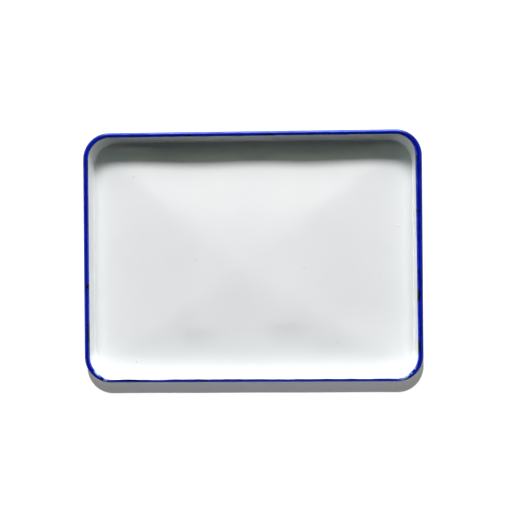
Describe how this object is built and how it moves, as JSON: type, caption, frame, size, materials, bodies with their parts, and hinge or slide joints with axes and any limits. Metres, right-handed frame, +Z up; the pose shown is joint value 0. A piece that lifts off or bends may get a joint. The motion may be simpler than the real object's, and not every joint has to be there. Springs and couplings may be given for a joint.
{
  "type": "enamelled palette tray",
  "caption": "Shallow rectangular enamelled-steel tray with a white crowned floor, rounded corners and a blue rolled rim, for mixing and keeping paint.",
  "frame": {"origin": "on the surface that the tray rests on, under the middle of its floor", "axes": "+X along the tray's length, +Y across its width, +Z up out of the well"},
  "size_m": [0.38, 0.282, 0.022],
  "materials": {
    "steel": "plain sheet steel, covered by its coats",
    "ground_enamel": "glossy blue-black ground coat",
    "white_enamel": "glossy white cover coat",
    "blue_enamel": "glossy cobalt blue rim coat"
  },
  "bodies": {
    "root": {"steel_pressing": "steel", "ground_coat_inside": "ground_enamel", "ground_coat_outside": "ground_enamel", "white_enamel_inside": "white_enamel", "white_enamel_outside": "white_enamel", "blue_rim_enamel": "blue_enamel"}
  },
  "joints": []
}
